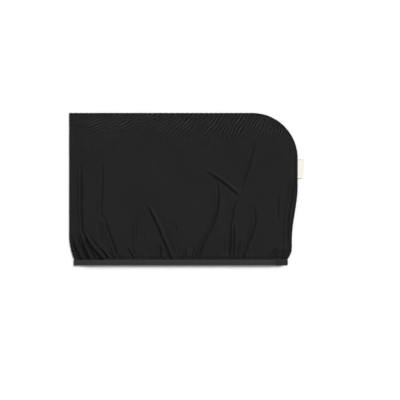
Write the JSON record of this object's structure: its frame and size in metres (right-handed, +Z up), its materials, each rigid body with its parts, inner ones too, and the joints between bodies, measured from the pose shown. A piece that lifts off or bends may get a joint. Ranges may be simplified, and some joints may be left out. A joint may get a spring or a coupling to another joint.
{
  "type": "car side window sunshade",
  "caption": "Slip-on mesh sleeve that shades a car's side window: two sewn stretch panels with one rounded top corner and an elastic hem.",
  "frame": {"origin": "middle of the back panel's underside, on the surface that the shade lies on", "axes": "+X along the hem, towards the rounded corner's side; +Y from the hem to the top; +Z up, out of the front panel"},
  "size_m": [0.7729, 0.5009, 0.0179],
  "materials": {
    "mesh": "black knitted stretch mesh, matt, slightly see-through",
    "thread": "black spun polyester thread",
    "elastic": "black woven elastic binding, fine ribs, slight sheen",
    "label": "cream woven label, bare"
  },
  "bodies": {
    "root": {"front_panel": "mesh", "back_panel": "mesh", "seam_overlock": "thread", "hem_binding": "elastic", "side_label": "label"}
  },
  "joints": []
}
